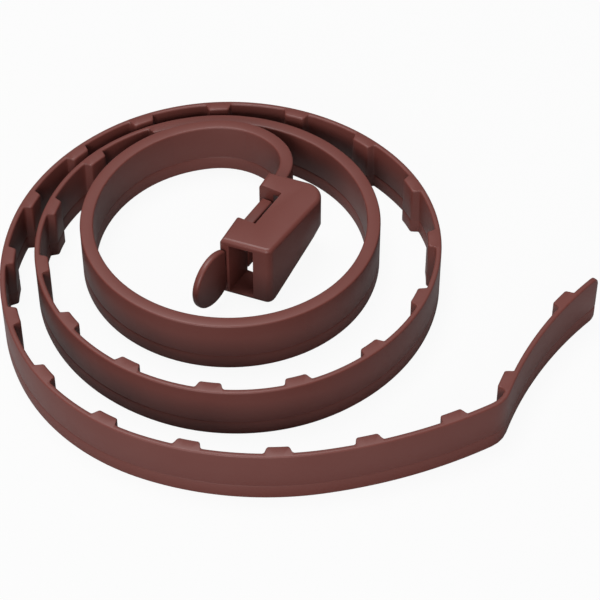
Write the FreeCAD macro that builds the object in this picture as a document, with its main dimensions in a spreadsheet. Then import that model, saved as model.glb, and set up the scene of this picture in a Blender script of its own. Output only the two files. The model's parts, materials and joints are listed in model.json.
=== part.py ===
import FreeCAD, Part
import math
import os
import Sketcher

# Moulded strap collar with a slotted buckle, lying coiled on the long edge of its strap.
# Frame: +Z up, the buckle's slot runs along Y with its mouth towards -Y, and the origin is
# the middle of the whole coil's footprint, on the surface that it lies on. Millimetres.

V = FreeCAD.Vector
Z_AXIS = V(0, 0, 1)

doc = FreeCAD.newDocument("StrapCollar")
sheet = doc.addObject("Spreadsheet::Sheet", "Sizes")

# One driving dimension per row: alias, value.
SIZES = [
    ("strap_height", 11.0),
    ("strap_thickness", 2.6),
    ("recess_depth", 1.5),
    ("lug_pitch", 16.0),
    ("lug_length", 4.5),
    ("hinge_gap", 0.5),
    ("bend_length", 9.0),
    ("bend_turn", 55.0),
    ("root_length", 2.5),
    ("fold_radius", 5.0),
    ("fold_turn", 40.0),
    ("tail_length", 34.0),
    ("tail_radius", 80.0),
    ("tail_first_lug", 2.5),
    ("tail_last_lug", 26.0),
    ("house_left", 3.4),
    ("back_left", 1.9),
    ("house_length", 21.0),
    ("house_rise", 1.1),
    ("house_swell", 4.4),
    ("tuck_width", 3.4),
    ("tuck_height", 9.0),
    ("back_round", 4.0),
    ("front_round", 1.5),
    ("edge_round", 0.9),
    ("slot_play", 2.2),
    ("slot_headroom", 0.8),
    ("slot_floor", 0.9),
    ("slot_roof", 1.3),
    ("slot_slant", 9.0),
    ("inner_wall", 1.7),
    ("outer_wall", 3.6),
    ("window_length", 9.9),
    ("window_back", 4.5),
    ("window_depth", 2.75),
    ("window_reach", 1.9),
    ("bar_gap", 0.3),
    ("bar_thickness", 2.2),
    ("bar_foot", 1.2),
    ("tooth_reach", 1.7),
    ("tooth_length", 3.0),
    ("tooth_inset", 2.0),
    ("tongue_length", 9.5),
    ("tongue_thickness", 1.4),
    ("tongue_flare", 13.0),
]

# How far each link of the coiled strap turns, in degrees, from the buckle outwards:
# two short links and then the long ones, each two lug pitches long.
SHORT_TURNS = [63, 37]
LONG_TURNS = [66, 67, 67, 63, 61, 55, 49, 47, 52, 47, 48, 45, 48, 41, 35, 43, 32, 20]
PLAIN_LONG_LINKS = 5
LINKS_TO_FLOOR = 8


def fill_sheet():
    rows = SIZES + [("turn_%02d" % n, turn) for n, turn in enumerate(SHORT_TURNS + LONG_TURNS, 1)]
    for row, (alias, value) in enumerate(rows, 1):
        sheet.set("A%d" % row, alias)
        sheet.set("B%d" % row, str(value))
        sheet.setAlias("B%d" % row, alias)
    doc.recompute()


fill_sheet()


def size(alias):
    return float(sheet.get(alias))


def formula(text):
    """A formula of aliases, numbers and signs, with each alias named in full."""
    return " ".join("Sizes." + word if sheet.getCellFromAlias(word) else word for word in text.split())


def bind(obj, **formulas):
    for prop, text in formulas.items():
        obj.setExpression(prop, formula(text))
    return obj


def put(obj, x=0.0, y=0.0, z=0.0, turn=0.0):
    obj.Placement = FreeCAD.Placement(V(x, y, z), FreeCAD.Rotation(Z_AXIS, turn))
    return obj


def cut(name, base, tool):
    result = doc.addObject("Part::Cut", name)
    result.Base = base
    result.Tool = tool
    return result


def fuse(name, shapes):
    result = doc.addObject("Part::MultiFuse", name)
    result.Shapes = shapes
    return result


def cylinder(name, radius, angle="360", height="strap_height"):
    """An upright cylinder, or a sector of one that starts on +X and turns left."""
    return bind(doc.addObject("Part::Cylinder", name), Radius=radius, Angle=angle, Height=height)


def sector(name, inner, outer, angle):
    """A ring sector between two radii, as tall as the strap."""
    return cut(name, cylinder(name + "_outer", outer, angle), cylinder(name + "_inner", inner))


def box(name, length, width, height):
    return bind(doc.addObject("Part::Box", name), Length=length, Width=width, Height=height)


# --- The strap's middle line -------------------------------------------------------------

class Walker:
    """A point that walks along the strap's middle line from the buckle, one arc at a time."""

    def __init__(self, x, y, heading):
        self.x = x
        self.y = y
        self.heading = heading

    def walk(self, length, turn):
        """Walk an arc that turns left, and return the place where it started."""
        start = (self.x, self.y, self.heading)
        radius = length / math.radians(turn)
        first = math.radians(self.heading)
        last = math.radians(self.heading + turn)
        self.x += radius * (math.sin(last) - math.sin(first))
        self.y += radius * (math.cos(first) - math.cos(last))
        self.heading += turn
        return start


# --- Strap links -------------------------------------------------------------------------
# A link is modelled with its middle line starting at the origin and heading +X. Its inner
# side, which carries the lugs, is on the left. Each link ends in a round knuckle that sits
# in the next link's hollow end. A thin end is one that falls in a recess between two lugs.

KNUCKLE = {False: "strap_thickness / 2", True: "( strap_thickness - recess_depth ) / 2"}
HALF_LUG = "lug_length / ( 4 * lug_pitch )"


def hinge_offset(thin):
    """How far right of the middle line a hinge's axis is."""
    return size("recess_depth") / 2 if thin else 0.0


def long_link_recesses():
    """The three recesses of a long link: where each starts, as a share, and its own share."""
    half = size("lug_length") / (4 * size("lug_pitch"))
    end_share = "( 0.25 - %s )" % HALF_LUG
    middle_share = "( 0.5 - 2 * %s )" % HALF_LUG
    return [(0.0, end_share), (0.25 + half, middle_share), (0.75 + half, end_share)]


def link(label, length, turn, thin=(False, False), recesses=()):
    """One strap link; its length is a formula and its turn is the alias of an angle."""
    middle = "%s * 180 / ( pi * %s )" % (length, turn)
    inner = middle + " - strap_thickness / 2"
    ring = sector(label + "_arc", inner, middle + " + strap_thickness / 2", turn)
    doc.recompute()
    angle = size(turn)
    radius = float(ring.Base.Radius) - size("strap_thickness") / 2
    put(ring, 0, radius, 0, -90)
    knuckle = cylinder(label + "_knuckle", KNUCKLE[thin[1]])
    reach = radius + hinge_offset(thin[1])
    put(knuckle, reach * math.sin(math.radians(angle)), radius - reach * math.cos(math.radians(angle)))
    seat = cylinder(label + "_seat", KNUCKLE[thin[0]] + " + hinge_gap")
    put(seat, 0, -hinge_offset(thin[0]))
    cutters = [seat]
    for number, (start, share) in enumerate(recesses, 1):
        name = "%s_recess_%d" % (label, number)
        pocket = sector(name, inner + " - strap_thickness", inner + " + recess_depth",
                        "%s * %s" % (turn, share))
        cutters.append(put(pocket, 0, radius, 0, -90 + angle * start))
    solid = fuse(label + "_solid", [ring, knuckle])
    hollow = fuse(label + "_cuts", cutters) if recesses else seat
    return cut(label, solid, hollow)


def tail_stretch(name, begin, end, near, far):
    """Part of the tail's right-hand arc, from one distance along it to another."""
    radius = size("tail_radius")
    sweep = math.degrees((end - begin) / radius)
    outer = Part.makeCylinder(radius + far, size("strap_height"), V(), Z_AXIS, sweep)
    inner = Part.makeCylinder(radius + near, size("strap_height"))
    piece = outer.cut(inner)
    turn = size("fold_turn")
    fold = math.radians(turn)
    x = size("fold_radius") * math.sin(fold) + radius * math.sin(fold)
    y = size("fold_radius") * (1 - math.cos(fold)) - radius * math.cos(fold)
    lead = turn + 90 - math.degrees(end / radius)
    piece.Placement = FreeCAD.Placement(V(x, y, 0), FreeCAD.Rotation(Z_AXIS, lead))
    return piece


def tail(label):
    """The sharp fold and the straighter free end after it, with its two lugs."""
    half = size("strap_thickness") / 2
    thin = half - size("recess_depth")
    height = size("strap_height")
    fold_radius = size("fold_radius")
    fold_outer = Part.makeCylinder(fold_radius + half, height, V(), Z_AXIS, size("fold_turn"))
    fold = fold_outer.cut(Part.makeCylinder(fold_radius - thin, height))
    fold.Placement = FreeCAD.Placement(V(0, fold_radius, 0), FreeCAD.Rotation(Z_AXIS, -90))
    pieces = [tail_stretch(label, 0.0, size("tail_length"), -half, thin)]
    for centre in (size("tail_first_lug"), size("tail_last_lug")):
        begin = centre - size("lug_length") / 2
        pieces.append(tail_stretch(label, begin, begin + size("lug_length"), -half, half))
    shape = fold.multiFuse(pieces)
    seat = Part.makeCylinder(half - size("recess_depth") / 2 + size("hinge_gap"), height)
    seat.translate(V(0, -size("recess_depth") / 2, 0))
    result = doc.addObject("Part::Feature", label)
    result.Shape = shape.cut(seat).removeSplitter()
    return result


# --- Buckle ------------------------------------------------------------------------------
# The buckle's frame: the strap's root is centred on X = 0 and leaves the back face, Y = 0.
# The housing's underside is at Z = 0 here, and is lifted above the surface with the root.

SLOT_WIDTH = "strap_thickness + slot_play"
SLOT_HEIGHT = "strap_height + slot_headroom"
HOUSE_HEIGHT = "slot_floor + strap_height + slot_headroom + slot_roof"
MOUTH_RIGHT = "inner_wall - house_left + strap_thickness + slot_play + outer_wall"
ROOT_LIFT = "slot_floor + 0.25 * slot_headroom"


def origin_plane(body, role):
    return [plane for plane in body.Origin.OriginFeatures if plane.Role == role][0]


def outline(body, name, corners):
    """A closed sketch of straight lines; each corner is a pair of formulas."""
    sketch = body.newObject("Sketcher::SketchObject", name)
    sketch.AttachmentSupport = [(origin_plane(body, "XY_Plane"), "")]
    sketch.MapMode = "FlatFace"
    points = [V(value_of(x), value_of(y), 0) for x, y in corners]
    count = len(points)
    for index in range(count):
        sketch.addGeometry(Part.LineSegment(points[index], points[(index + 1) % count]))
    for index, (x, y) in enumerate(corners):
        sketch.addConstraint(Sketcher.Constraint("Coincident", index, 1, (index - 1) % count, 2))
        for kind, text, now in (("DistanceX", x, points[index].x), ("DistanceY", y, points[index].y)):
            number = sketch.addConstraint(Sketcher.Constraint(kind, -1, 1, index, 1, now))
            sketch.setExpression("Constraints[%d]" % number, formula(text))
    return sketch


def value_of(text):
    """The present value of a short formula: aliases and products joined by + and -."""
    total = 0.0
    sign = 1.0
    for term in text.replace("- ", "+ -").split("+"):
        term = term.strip()
        if not term:
            continue
        sign = -1.0 if term.startswith("-") else 1.0
        amount = sign
        for word in term.lstrip("-").split("*"):
            word = word.strip()
            amount *= size(word) if sheet.getCellFromAlias(word) else float(word)
        total += amount
    return total


def edges_where(feature, test):
    return ["Edge%d" % number for number, edge in enumerate(feature.Shape.Edges, 1) if test(edge)]


def round_edges(body, base, name, radius, test):
    feature = body.newObject("PartDesign::Fillet", name)
    feature.Base = (base, edges_where(base, test))
    bind(feature, Radius=radius)
    doc.recompute()
    return feature


def is_rising_at(x, y):
    """A test for the edge that rises from a place on the underside to the top."""
    def test(edge):
        ends = sorted([vertex.Point for vertex in edge.Vertexes], key=lambda point: point.z)
        rising = len(ends) == 2 and ends[1].z - ends[0].z > size("strap_height") / 2
        return rising and max(abs(ends[0].x - x), abs(ends[0].y - y)) < 0.01
    return test


def is_level(edge):
    """A test for the edges that lie flat, round the top and the bottom."""
    return edge.BoundBox.ZLength < 0.01


def housing_block():
    """The solid housing, which is wider at the back and has rounded outer corners."""
    body = doc.addObject("PartDesign::Body", "housing_block")
    back_right = MOUTH_RIGHT + " + house_swell"
    corners = [("- house_left", "- house_length"), (MOUTH_RIGHT, "- house_length"), (back_right, "0"),
               ("- back_left", "0")]
    block = body.newObject("PartDesign::Pad", "housing_pad")
    block.Profile = outline(body, "housing_outline", corners)
    bind(block, Length=HOUSE_HEIGHT)
    doc.recompute()
    back_corner = is_rising_at(value_of(back_right), 0)
    front_corner = is_rising_at(value_of(MOUTH_RIGHT), -size("house_length"))
    rounded = round_edges(body, block, "housing_back_round", "back_round", back_corner)
    rounded = round_edges(body, rounded, "housing_front_round", "front_round", front_corner)
    round_edges(body, rounded, "housing_edge_round", "edge_round", is_level)
    return body


def housing_tuck():
    """A block that cuts the outer side's lower edge away, more and more towards the back."""
    right = value_of(MOUTH_RIGHT)
    swell = size("house_swell")
    front = V(right, -size("house_length"), 0)
    below = V(right + swell - size("tuck_width"), 0, 0)
    above = V(right + swell, 0, size("tuck_height"))
    cutter = box("housing_tuck", "3 * house_length", "3 * house_length", "house_length")
    facing = FreeCAD.Rotation(Z_AXIS, (below - front).cross(above - front))
    middle = V(size("house_length"), size("house_length"), 0) * 1.5
    cutter.Placement = FreeCAD.Placement(front - facing.multVec(middle), facing)
    return cutter


def slot_place(across, along):
    """A place from the slot's left side at the mouth: a distance across it and one along it."""
    slant = math.radians(size("slot_slant"))
    x = size("inner_wall") - size("house_left") + across * math.cos(slant) + along * math.sin(slant)
    y = -size("house_length") - across * math.sin(slant) + along * math.cos(slant)
    return x, y


def put_in_slot(obj, across, along, z):
    """Put a box square to the slot, by its left front lower corner."""
    return put(obj, *slot_place(across, along), z, -size("slot_slant"))


def window_front():
    """How far the window's front edge is from the mouth, along the slot."""
    return size("house_length") - size("window_back") - size("window_length")


def buckle_housing():
    """The moulded housing with its slanted slot and its window in the top and inner side."""
    slot = box("housing_slot", SLOT_WIDTH, "house_length * 2", SLOT_HEIGHT)
    put_in_slot(slot, 0, -size("house_length") / 2, size("slot_floor"))
    window = box("housing_window", "house_left * 2 + window_reach", "window_length",
                 HOUSE_HEIGHT + " + window_depth")
    put_in_slot(window, -2 * size("house_left"), window_front(), -size("window_depth") / 2)
    return cut("buckle_housing", housing_block(), fuse("housing_cuts", [slot, window, housing_tuck()]))


def catch_bar():
    """The springy bar beside the slot, with the tooth that holds a lug."""
    bar_height = HOUSE_HEIGHT + " - window_depth - bar_foot"
    bar = box("catch_bar_beam", "bar_thickness", "window_length - 2 * bar_gap", bar_height)
    inner_side = -size("bar_thickness")
    put_in_slot(bar, inner_side, window_front() + size("bar_gap"), size("bar_foot"))
    tooth = box("catch_bar_tooth", "bar_thickness + tooth_reach", "tooth_length",
                bar_height + " - 2 * tooth_inset")
    along = window_front() + (size("window_length") - size("tooth_length")) / 2
    put_in_slot(tooth, inner_side, along, size("bar_foot") + size("tooth_inset"))
    return fuse("catch_bar", [bar, tooth])


def guide_tongue():
    """The spoon-shaped lip that leads the strap's end into the mouth."""
    plate = box("tongue_plate", "tongue_thickness", "tongue_length", SLOT_HEIGHT)
    end = cylinder("tongue_end", "( %s ) / 2" % SLOT_HEIGHT, "360", "tongue_thickness")
    middle = value_of(SLOT_HEIGHT) / 2
    end.Placement = FreeCAD.Placement(V(0, middle, middle), FreeCAD.Rotation(V(0, 1, 0), 90))
    result = doc.addObject("Part::MultiCommon", "guide_tongue")
    result.Shapes = [plate, end]
    flare = math.radians(size("tongue_flare"))
    reach = size("tongue_length")
    put(result, -size("house_left") - reach * math.sin(flare),
        -size("house_length") - reach * math.cos(flare), size("slot_floor"), -size("tongue_flare"))
    return result


def strap_root():
    """The stub that leaves the housing's back, with the knuckle for the bend."""
    root = fuse("strap_root", [
        put(box("root_stub", "strap_thickness", "root_length", "strap_height"), -size("strap_thickness") / 2),
        put(cylinder("root_knuckle", KNUCKLE[False]), 0, size("root_length"))])
    return put(root, 0, 0, value_of(ROOT_LIFT))


def build_buckle():
    pieces = [buckle_housing(), catch_bar(), guide_tongue(), strap_root()]
    for piece in pieces:
        piece.Placement.Base.z += size("house_rise")
    return pieces


# --- The whole strap ---------------------------------------------------------------------

def build_strap():
    """Every link at its place along the coil, sinking from the buckle to the surface."""
    walker = Walker(0.0, size("root_length"), 90.0)
    root_height = size("house_rise") + value_of(ROOT_LIFT)
    parts = []

    def add(part, label, start):
        drop = min(1.0, (len(parts) + 1) / LINKS_TO_FLOOR)
        part.Label = label
        put(part, start[0], start[1], root_height * (1 - drop), start[2])
        parts.append(part)

    bend = link("strap_bend", "bend_length", "bend_turn")
    add(bend, "strap_bend", walker.walk(size("bend_length"), size("bend_turn")))
    recesses = long_link_recesses()
    for number in range(1, len(SHORT_TURNS + LONG_TURNS) + 1):
        label = "strap_link_%02d" % number
        turn = "turn_%02d" % number
        length = "lug_pitch" if number <= len(SHORT_TURNS) else "2 * lug_pitch"
        plain = len(SHORT_TURNS) + PLAIN_LONG_LINKS
        if number <= plain:
            piece = link(label, length, turn)
        elif number == plain + 1:
            piece = link(label, length, turn, (False, True), recesses[1:])
        else:
            piece = link(label, length, turn, (True, True), recesses)
        steps = 1 if number <= len(SHORT_TURNS) else 2
        add(piece, label, walker.walk(steps * size("lug_pitch"), size(turn)))
    add(tail("strap_tail"), "strap_tail", (walker.x, walker.y, walker.heading))
    return parts


def centre_on_footprint(parts):
    """Move every sub-part so that the origin is the middle of the footprint."""
    whole = FreeCAD.BoundBox()
    for part in parts:
        whole.add(part.Shape.BoundBox)
    for part in parts:
        part.Placement.Base = part.Placement.Base - V(whole.Center.x, whole.Center.y, whole.ZMin)
    doc.recompute()


def check_and_write(parts):
    """Stop on any failed object or bad shape, and then write one file per sub-part."""
    for obj in doc.Objects:
        if "Invalid" in obj.State or "Error" in obj.State:
            raise RuntimeError("%s failed to build" % obj.Name)
    for part in parts:
        if part.Shape.isNull() or not part.Shape.isValid():
            raise RuntimeError("%s has no valid shape" % part.Label)
    os.makedirs("parts", exist_ok=True)
    for part in parts:
        part.Shape.exportStep("parts/%s.step" % part.Label)
        print("%-16s solids %d, volume %.1f" % (part.Label, len(part.Shape.Solids), part.Shape.Volume))


collar = build_buckle() + build_strap()
doc.recompute()
centre_on_footprint(collar)
check_and_write(collar)
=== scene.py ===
import bpy
import bmesh
import json
import math
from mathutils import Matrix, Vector


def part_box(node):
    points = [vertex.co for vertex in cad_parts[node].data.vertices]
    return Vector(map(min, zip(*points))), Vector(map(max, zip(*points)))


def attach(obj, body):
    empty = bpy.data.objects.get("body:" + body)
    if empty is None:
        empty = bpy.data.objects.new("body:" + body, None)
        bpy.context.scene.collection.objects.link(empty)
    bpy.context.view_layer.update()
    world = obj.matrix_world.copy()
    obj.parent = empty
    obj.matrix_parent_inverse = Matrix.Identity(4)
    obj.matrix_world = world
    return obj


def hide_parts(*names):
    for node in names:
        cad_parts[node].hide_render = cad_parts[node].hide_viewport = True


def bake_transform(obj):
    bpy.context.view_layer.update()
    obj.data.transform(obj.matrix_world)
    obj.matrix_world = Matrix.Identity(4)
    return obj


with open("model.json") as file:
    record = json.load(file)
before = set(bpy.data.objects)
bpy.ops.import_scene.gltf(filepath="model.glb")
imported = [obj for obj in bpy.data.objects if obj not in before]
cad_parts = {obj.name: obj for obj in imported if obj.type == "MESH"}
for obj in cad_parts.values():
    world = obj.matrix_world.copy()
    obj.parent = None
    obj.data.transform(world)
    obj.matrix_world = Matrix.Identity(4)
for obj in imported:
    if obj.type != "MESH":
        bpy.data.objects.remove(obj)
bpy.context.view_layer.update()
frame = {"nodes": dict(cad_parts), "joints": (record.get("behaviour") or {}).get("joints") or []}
MM = 0.001


# --- Table, lamps and camera --------------------------------------------------------------
# A matt grey table top, which the camera sees as nearly white, under two soft lamps and an
# even white surround. The camera looks down on the coil from the side of the buckle's mouth.

def link_object(name, data):
    """Add an object to the scene."""
    made = bpy.data.objects.new(name, data)
    bpy.context.scene.collection.objects.link(made)
    return made


TABLE_SIZE = 6.0
TABLE_GREY = (0.4, 0.4, 0.4, 1.0)
TABLE_ROUGHNESS = 0.9
SHARE_SEEN_WHITE = 0.93
SURROUND_WHITE = (1.0, 1.0, 1.0, 1.0)
SURROUND_STRENGTH = 0.22
table_top = bmesh.new()
bmesh.ops.create_grid(table_top, x_segments=1, y_segments=1, size=TABLE_SIZE / 2)
table_mesh = bpy.data.meshes.new("table")
table_top.to_mesh(table_mesh)
table_top.free()
table = link_object("table", table_mesh)
table_paint = bpy.data.materials.new("table_paint")
table_paint.use_nodes = True
paint_nodes = table_paint.node_tree.nodes
paint_links = table_paint.node_tree.links
paint_nodes["Principled BSDF"].inputs["Base Color"].default_value = TABLE_GREY
paint_nodes["Principled BSDF"].inputs["Roughness"].default_value = TABLE_ROUGHNESS
paint_seen = paint_nodes.new("ShaderNodeLightPath")
paint_glow = paint_nodes.new("ShaderNodeEmission")
paint_glow.inputs["Strength"].default_value = 1.0
paint_mix = paint_nodes.new("ShaderNodeMixShader")
paint_share = paint_nodes.new("ShaderNodeMath")
paint_share.operation = "MULTIPLY"
paint_share.inputs[1].default_value = SHARE_SEEN_WHITE
paint_links.new(paint_seen.outputs["Is Camera Ray"], paint_share.inputs[0])
paint_links.new(paint_share.outputs["Value"], paint_mix.inputs["Fac"])
paint_links.new(paint_nodes["Principled BSDF"].outputs["BSDF"], paint_mix.inputs[1])
paint_links.new(paint_glow.outputs["Emission"], paint_mix.inputs[2])
paint_links.new(paint_mix.outputs["Shader"], paint_nodes["Material Output"].inputs["Surface"])
table_mesh.materials.append(table_paint)

surround = bpy.data.worlds.new("surround")
surround.use_nodes = True
surround.node_tree.nodes["Background"].inputs["Color"].default_value = SURROUND_WHITE
surround.node_tree.nodes["Background"].inputs["Strength"].default_value = SURROUND_STRENGTH
bpy.context.scene.world = surround
bpy.context.scene.view_settings.view_transform = "Standard"


# Each lamp's name, place and width in metres, and its watts.
LAMPS = [
    ("lamp_high", (-0.15, 0.05, 0.80), 0.35, 7.0),
    ("lamp_front", (0.10, -0.80, 0.35), 0.4, 6.0),
]


def add_lamp(name, place, width, watts):
    """A square soft lamp at a place, aimed at the middle of the coil."""
    data = bpy.data.lights.new(name, "AREA")
    data.shape = "SQUARE"
    data.size = width
    data.energy = watts
    lamp = link_object(name, data)
    lamp.location = place
    lamp.rotation_euler = (-Vector(place)).to_track_quat("-Z", "Y").to_euler()


CAMERA_TURN = math.radians(21.04)
CAMERA_RISE = math.radians(45.29)
CAMERA_DISTANCE = 0.4206
CAMERA_LENS = 131.65
SENSOR_WIDTH = 36.0
AIM_FROM_START = (11.0 * MM, -19.5 * MM)
coil_start = Vector(frame["joints"][0]["pos_m"])
camera_aim = Vector((coil_start.x + AIM_FROM_START[0], coil_start.y + AIM_FROM_START[1], 0.0))
camera_data = bpy.data.cameras.new("camera")
camera_data.lens = CAMERA_LENS
camera_data.sensor_width = SENSOR_WIDTH
camera = link_object("camera", camera_data)
camera_back = Vector((math.sin(CAMERA_TURN) * math.cos(CAMERA_RISE),
                      -math.cos(CAMERA_TURN) * math.cos(CAMERA_RISE),
                      math.sin(CAMERA_RISE)))
camera.location = camera_aim + camera_back * CAMERA_DISTANCE
camera.rotation_euler = camera_back.to_track_quat("Z", "Y").to_euler()
bpy.context.scene.camera = camera

for lamp_values in LAMPS:
    add_lamp(*lamp_values)


# --- Moulded vinyl ------------------------------------------------------------------------
# Strap and buckle are one red-brown vinyl moulding with a satin skin. The skin has a faint
# grain from the mould, slow changes of shade and a thin pale bloom.

VINYL_BROWN = (0.105, 0.024, 0.018, 1.0)
VINYL_BLOOM = (0.30, 0.17, 0.16, 1.0)
VINYL_IOR = 1.42
SHADE_SCALE = 90.0
RUB_SCALE = 260.0
GRAIN_SCALE = 2600.0
GRAIN_STRENGTH = 0.25
GRAIN_HEIGHT = 0.02 * MM
GLOSS_SPREAD = 0.08


def vinyl_skin_group():
    """Node group: the colour, roughness and bump height of a moulded vinyl skin."""
    group = bpy.data.node_groups.new("vinyl_skin", "ShaderNodeTree")
    socket = group.interface.new_socket
    socket("Vinyl Color", in_out="INPUT", socket_type="NodeSocketColor")
    socket("Bloom Color", in_out="INPUT", socket_type="NodeSocketColor")
    socket("Bloom", in_out="INPUT", socket_type="NodeSocketFloat")
    socket("Gloss Spread", in_out="INPUT", socket_type="NodeSocketFloat").default_value = GLOSS_SPREAD
    socket("Roughness", in_out="INPUT", socket_type="NodeSocketFloat")
    socket("Color", in_out="OUTPUT", socket_type="NodeSocketColor")
    socket("Roughness", in_out="OUTPUT", socket_type="NodeSocketFloat")
    socket("Height", in_out="OUTPUT", socket_type="NodeSocketFloat")
    nodes = group.nodes
    wire = group.links.new
    given = nodes.new("NodeGroupInput")
    out = nodes.new("NodeGroupOutput")
    place = nodes.new("ShaderNodeTexCoord")

    def noise(scale, detail):
        made = nodes.new("ShaderNodeTexNoise")
        made.inputs["Scale"].default_value = scale
        made.inputs["Detail"].default_value = detail
        wire(place.outputs["Object"], made.inputs["Vector"])
        return made

    shade = noise(SHADE_SCALE, detail=3.0)
    bloom = nodes.new("ShaderNodeMath")
    bloom.operation = "MULTIPLY"
    wire(shade.outputs["Fac"], bloom.inputs[0])
    wire(given.outputs["Bloom"], bloom.inputs[1])
    tint = nodes.new("ShaderNodeMix")
    tint.data_type = "RGBA"
    wire(bloom.outputs["Value"], tint.inputs["Factor"])
    wire(given.outputs["Vinyl Color"], tint.inputs["A"])
    wire(given.outputs["Bloom Color"], tint.inputs["B"])
    wire(tint.outputs["Result"], out.inputs["Color"])
    rub = noise(RUB_SCALE, detail=4.0)
    spread = nodes.new("ShaderNodeMath")
    spread.operation = "MULTIPLY_ADD"
    wire(rub.outputs["Fac"], spread.inputs[0])
    wire(given.outputs["Gloss Spread"], spread.inputs[1])
    wire(given.outputs["Roughness"], spread.inputs[2])
    wire(spread.outputs["Value"], out.inputs["Roughness"])
    grain = noise(GRAIN_SCALE, detail=2.0)
    wire(grain.outputs["Fac"], out.inputs["Height"])
    return group


vinyl_skin = vinyl_skin_group()


def vinyl_material(name, bloom, roughness):
    """A satin vinyl material with its own bloom and roughness."""
    material = bpy.data.materials.new(name)
    material.use_nodes = True
    nodes = material.node_tree.nodes
    wire = material.node_tree.links.new
    skin = nodes.new("ShaderNodeGroup")
    skin.node_tree = vinyl_skin
    skin.inputs["Vinyl Color"].default_value = VINYL_BROWN
    skin.inputs["Bloom Color"].default_value = VINYL_BLOOM
    skin.inputs["Bloom"].default_value = bloom
    skin.inputs["Roughness"].default_value = roughness
    shader = nodes["Principled BSDF"]
    shader.inputs["IOR"].default_value = VINYL_IOR
    bump = nodes.new("ShaderNodeBump")
    bump.inputs["Strength"].default_value = GRAIN_STRENGTH
    bump.inputs["Distance"].default_value = GRAIN_HEIGHT
    wire(skin.outputs["Color"], shader.inputs["Base Color"])
    wire(skin.outputs["Roughness"], shader.inputs["Roughness"])
    wire(skin.outputs["Height"], bump.inputs["Height"])
    wire(bump.outputs["Normal"], shader.inputs["Normal"])
    return material


strap_vinyl = vinyl_material("strap_vinyl", bloom=0.06, roughness=0.46)


# --- Strap --------------------------------------------------------------------------------
# One long flat vinyl moulding. Its first turn and a third is plain; after that its inner
# face is cut back between lugs as tall as the strap, and it ends in a sharp fold and a tail.
# Each piece runs from the middle of one link to the middle of the next, over their hinge.

LUG_LENGTH = 4.5 * MM
LUG_DRAFT = 0.5 * MM
LUG_ROUND = 0.3 * MM
RECESS_DEPTH = 1.5 * MM
EDGE_ROUND = 0.35 * MM
ROUND_ANGLES = (0, 30, 60, 90)
LINE_HEIGHT = 0.29
LINE_WIDTH = 0.5 * MM
LINE_DEPTH = 0.12 * MM
STEP_LENGTH = 1.3 * MM
FIRST_LUG_LINK = 8
FOLD_RADIUS = 5.0 * MM
FOLD_TURN = math.radians(40.0)
TAIL_RADIUS = 80.0 * MM
TAIL_LENGTH = 34.0 * MM
TAIL_LUGS = (2.5 * MM, 26.0 * MM)
TIP_ROUND = 1.0 * MM
TAIL_BLEND_BEFORE = 6 * MM
TAIL_BLEND_AFTER = FOLD_RADIUS * 1.6
SAME_LENGTH = 1e-9
STRAIGHT_BELOW = 1e-6
SMOOTH_BELOW = math.radians(40)

root_low, root_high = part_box("strap_root")
THICK = root_high.x - root_low.x
TALL = root_high.z - root_low.z
hinges = [joint for joint in frame["joints"] if joint["child"].startswith("strap_")]
links = [joint["child"] for joint in hinges]


def ahead(heading):
    """The level direction of a heading."""
    return Vector((math.cos(heading), math.sin(heading)))


def edges_in(parts):
    return [part for part in parts if isinstance(part, bmesh.types.BMEdge)]


def verts_in(parts):
    return [part for part in parts if isinstance(part, bmesh.types.BMVert)]


class Stretch:
    """A stretch of strap with an even bend, either full thickness or cut back."""

    def __init__(self, length, turn, thin):
        self.length = length
        self.turn = turn
        self.thin = thin

    def split(self, share):
        """The parts of the stretch before and after a share of its length."""
        return (Stretch(self.length * share, self.turn * share, self.thin),
                Stretch(self.length * (1 - share), self.turn * (1 - share), self.thin))


def arc_between(first, last, turn):
    """The length of the arc that turns by an angle between two points."""
    chord = (last - first).length
    return chord * turn / (2 * math.sin(turn / 2))


def lug_pattern(length, turn, lugs):
    """Stretches along a link of a length, thin except at its lugs' centres."""
    marks = [0.0]
    for centre in lugs:
        marks += [centre - LUG_LENGTH / 2, centre + LUG_LENGTH / 2]
    marks.append(length)
    pattern = []
    for number, (begin, end) in enumerate(zip(marks, marks[1:])):
        pattern.append(Stretch(end - begin, turn * (end - begin) / length, number % 2 == 0))
    return pattern


def link_headings():
    """The heading of the strap at each hinge, and each link's turn, from the hinges' ranges."""
    headings = [math.pi / 2]
    turns = []
    before = 0.0
    for joint in hinges[:-1]:
        turn = 2 * math.radians(joint["range_deg"][1]) - before
        turns.append(turn)
        headings.append(headings[-1] + turn)
        before = turn
    return headings, turns


headings, turns = link_headings()


def middle_of_hinge(number):
    """Where the strap's middle line passes a hinge; in a recess, the hinge is off the line."""
    place = Vector(hinges[number]["pos_m"][:2])
    if number > FIRST_LUG_LINK:
        place += ahead(headings[number] + math.pi / 2) * RECESS_DEPTH / 2
    return place


def link_pattern(number):
    """The stretches of one link: plain, half plain and half with lugs, or with two lugs."""
    turn = turns[number]
    length = arc_between(places[number], places[number + 1], turn)
    if number < FIRST_LUG_LINK:
        return [Stretch(length, turn, False)]
    pattern = lug_pattern(length, turn, [length / 4, length * 3 / 4])
    if number > FIRST_LUG_LINK:
        return pattern
    plain_length = length / 4 + LUG_LENGTH / 2
    return [Stretch(plain_length, turn * plain_length / length, False)] + pattern[2:]


places = [middle_of_hinge(number) for number in range(len(hinges))]
patterns = [link_pattern(number) for number in range(len(turns))]
fold = Stretch(FOLD_RADIUS * FOLD_TURN, FOLD_TURN, True)
patterns.append([fold] + lug_pattern(TAIL_LENGTH, -TAIL_LENGTH / TAIL_RADIUS, TAIL_LUGS))


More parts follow.
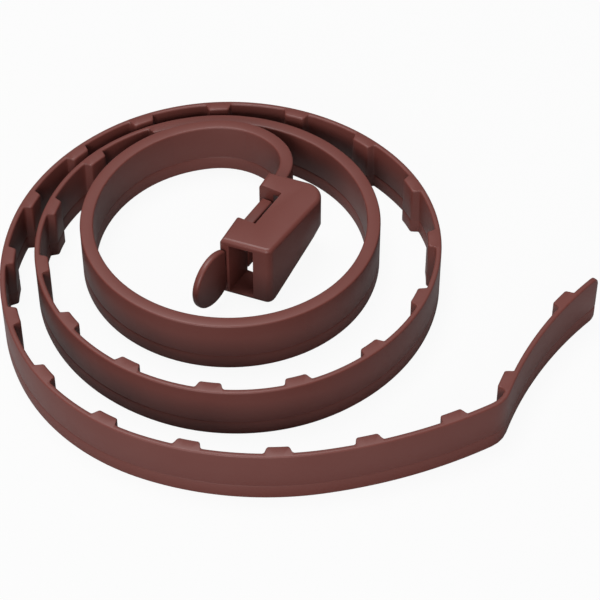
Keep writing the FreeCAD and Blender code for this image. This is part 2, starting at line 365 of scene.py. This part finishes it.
def halves(pattern):
    """A link's pattern, parted at the middle of its length."""
    total = sum(stretch.length for stretch in pattern)
    first = []
    second = []
    walked = 0.0
    for stretch in pattern:
        end = walked + stretch.length
        if end <= total / 2 + SAME_LENGTH:
            first.append(stretch)
        elif walked >= total / 2 - SAME_LENGTH:
            second.append(stretch)
        else:
            near, far = stretch.split((total / 2 - walked) / stretch.length)
            first.append(near)
            second.append(far)
        walked = end
    return first, second


class StrapPress:
    """Presses a run of strap: a section loop that is spun along each stretch in turn."""

    def __init__(self, place, heading, height, thin):
        self.place = place.copy()
        self.heading = heading
        self.height = height
        self.thin = thin
        self.mesh = bmesh.new()
        self.corners = []
        self.loop = self.start_loop()
        self.first_edges = edges_in(self.loop)

    def left(self):
        return Vector((-math.sin(self.heading), math.cos(self.heading)))

    def start_loop(self):
        """The strap's section: a tall box with rounded corners and a fine line on each side."""
        line = TALL * LINE_HEIGHT
        corner = [(EDGE_ROUND * (1 - math.sin(angle)), EDGE_ROUND * (1 - math.cos(angle)))
                  for angle in map(math.radians, ROUND_ANGLES)]
        outline = corner + [(0, line - LINE_WIDTH / 2), (LINE_DEPTH, line), (0, line + LINE_WIDTH / 2)]
        outline += [(inset, TALL - rise) for inset, rise in reversed(corner)]
        inner = THICK / 2 - (RECESS_DEPTH if self.thin else 0)
        points = [(inner - inset, rise) for inset, rise in outline]
        points += [(inset - THICK / 2, rise) for inset, rise in reversed(outline)]
        left = self.left()
        verts = []
        for across, rise in points:
            spot = self.place + left * across
            verts.append(self.mesh.verts.new((spot.x, spot.y, self.height + rise)))
        edges = [self.mesh.edges.new((verts[i - 1], verts[i])) for i in range(len(verts))]
        return verts + edges

    def move(self, length, turn, rise, steps):
        """Spin the section along an arc of a length and a turn, rising evenly."""
        if abs(turn) < STRAIGHT_BELOW:
            step = ahead(self.heading) * length
            made = bmesh.ops.extrude_edge_only(self.mesh, edges=edges_in(self.loop))
            loop = [part for part in made["geom"] if not isinstance(part, bmesh.types.BMFace)]
            bmesh.ops.translate(self.mesh, vec=(step.x, step.y, rise), verts=verts_in(loop))
            self.place += step
        else:
            radius = length / turn
            centre = self.place + self.left() * radius
            made = bmesh.ops.spin(self.mesh, geom=self.loop, cent=(centre.x, centre.y, 0), axis=(0, 0, 1),
                                  dvec=(0, 0, rise / steps), angle=turn, steps=steps)
            loop = made["geom_last"]
            self.heading += turn
            self.place = centre - self.left() * radius
        self.height += rise
        self.loop = loop

    def step_inner(self, thin):
        """Move the inner face of the last section in or out, for the end of a lug."""
        if thin == self.thin:
            return
        left = self.left() * (-RECESS_DEPTH if thin else RECESS_DEPTH)
        bmesh.ops.translate(self.mesh, vec=(left.x, left.y, 0), verts=self.inner_verts())
        self.thin = thin

    def inner_verts(self):
        left = self.left()
        middle = -THICK / 2 + (THICK - RECESS_DEPTH) / 2
        return [vert for vert in verts_in(self.loop) if (vert.co.xy - self.place).dot(left) > middle]

    def mark_corner(self):
        """Note the last section's inner edges, to be rounded as the corner of a lug."""
        inner = set(self.inner_verts())
        self.corners += [edge for edge in edges_in(self.loop) if inner.issuperset(edge.verts)]

    def press(self, stretch, slope):
        """Press one stretch; a change of thickness is a short draft at its start."""
        length, turn = stretch.length, stretch.turn
        if stretch.thin != self.thin:
            self.mark_corner()
            share = LUG_DRAFT / length
            self.move(LUG_DRAFT, turn * share, LUG_DRAFT * slope, 1)
            self.step_inner(stretch.thin)
            self.mark_corner()
            length -= LUG_DRAFT
            turn *= 1 - share
        steps = max(1, round(length / STEP_LENGTH))
        self.move(length, turn, length * slope, steps)

    def round_tip(self):
        """Take the last section in above and below, for the rounded end of the tail."""
        angles = [math.radians(angle) for angle in ROUND_ANGLES]
        for before, after in zip(angles, angles[1:]):
            self.move(TIP_ROUND * (math.sin(after) - math.sin(before)), 0, 0, 1)
            middle = self.height + TALL / 2
            old = TALL / 2 - TIP_ROUND * (1 - math.cos(before))
            new = TALL / 2 - TIP_ROUND * (1 - math.cos(after))
            for vert in verts_in(self.loop):
                vert.co.z = middle + (vert.co.z - middle) * new / old

    def finish(self, name):
        """Close both ends, round the lugs' corners and make the object."""
        last_edges = edges_in(self.loop)
        bmesh.ops.contextual_create(self.mesh, geom=self.first_edges)
        bmesh.ops.contextual_create(self.mesh, geom=last_edges)
        if self.corners:
            bmesh.ops.bevel(self.mesh, geom=self.corners, offset=LUG_ROUND, segments=2, affect="EDGES",
                            profile=0.5, material=-1, clamp_overlap=True)
        bmesh.ops.recalc_face_normals(self.mesh, faces=self.mesh.faces)
        data = bpy.data.meshes.new(name)
        self.mesh.to_mesh(data)
        self.mesh.free()
        data.materials.append(strap_vinyl)
        data.shade_smooth()
        data.set_sharp_from_angle(angle=SMOOTH_BELOW)
        return link_object(name, data)


root_length = hinges[0]["pos_m"][1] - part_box("buckle_housing")[1].y
root_place = Vector((hinges[0]["pos_m"][0], hinges[0]["pos_m"][1] - root_length))
place, heading, lift, thin = root_place, math.pi / 2, root_low.z, False
stretches = [Stretch(root_length, 0.0, False)]
behind = "buckle"
node_behind = "strap_root"
for number, node in enumerate(links):
    is_tail = node == links[-1]
    before_middle, after_middle = (patterns[number], []) if is_tail else halves(patterns[number])
    stretches += before_middle
    node_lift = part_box(node)[0].z
    slope = (node_lift - lift) / sum(stretch.length for stretch in stretches)
    press = StrapPress(place, heading, lift, thin)
    for stretch in stretches:
        press.press(stretch, slope)
    start, end = place, press.place.copy()
    if is_tail:
        press.round_tip()
        start = places[number] - ahead(headings[number]) * TAIL_BLEND_BEFORE
        end = places[number] + ahead(headings[number] + FOLD_TURN / 2) * TAIL_BLEND_AFTER
    place, heading, lift, thin = press.place.copy(), press.heading, node_lift, press.thin
    piece = press.finish("strap_span_%02d" % number)
    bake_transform(piece)
    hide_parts(node_behind)
    if is_tail:
        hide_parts(node)
    stretches = after_middle
    behind = node_behind = node


# --- Buckle -------------------------------------------------------------------------------
# The housing, its catch bar and its guide tongue come out of the same mould as the strap,
# so every edge that the mould leaves is softly rounded.

SHARP_FROM = math.radians(25)
FLAT_BELOW = math.radians(0.5)
SAME_PLACE = 0.002 * MM
HOUSING_ROUND = 0.4 * MM
TONGUE_ROUND = 0.5 * MM
BAR_ROUND = 0.3 * MM


def moulded_piece(node, name, edge_round, material):
    """A copy of a CAD node, with its sharp edges rounded over, that stands for the node."""
    shell = bmesh.new()
    shell.from_mesh(frame["nodes"][node].data)
    bmesh.ops.remove_doubles(shell, verts=shell.verts, dist=SAME_PLACE)
    bmesh.ops.dissolve_limit(shell, angle_limit=FLAT_BELOW, verts=shell.verts, edges=shell.edges)
    sharp = [edge for edge in shell.edges if len(edge.link_faces) == 2
             and edge.calc_face_angle() > SHARP_FROM]
    bmesh.ops.bevel(shell, geom=sharp, offset=edge_round, segments=3, profile=0.5, affect="EDGES",
                    material=-1, clamp_overlap=True)
    bmesh.ops.recalc_face_normals(shell, faces=shell.faces)
    data = bpy.data.meshes.new(name)
    shell.to_mesh(data)
    shell.free()
    data.materials.append(material)
    data.shade_smooth()
    data.set_sharp_from_angle(angle=SMOOTH_BELOW)
    piece = link_object(name, data)
    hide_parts(node)
    return piece


buckle_vinyl = vinyl_material("buckle_vinyl", bloom=0.05, roughness=0.44)
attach(moulded_piece("buckle_housing", "moulded_housing", HOUSING_ROUND, buckle_vinyl), "buckle")
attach(moulded_piece("guide_tongue", "moulded_tongue", TONGUE_ROUND, buckle_vinyl), "buckle")
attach(moulded_piece("catch_bar", "moulded_catch_bar", BAR_ROUND, buckle_vinyl), "catch")
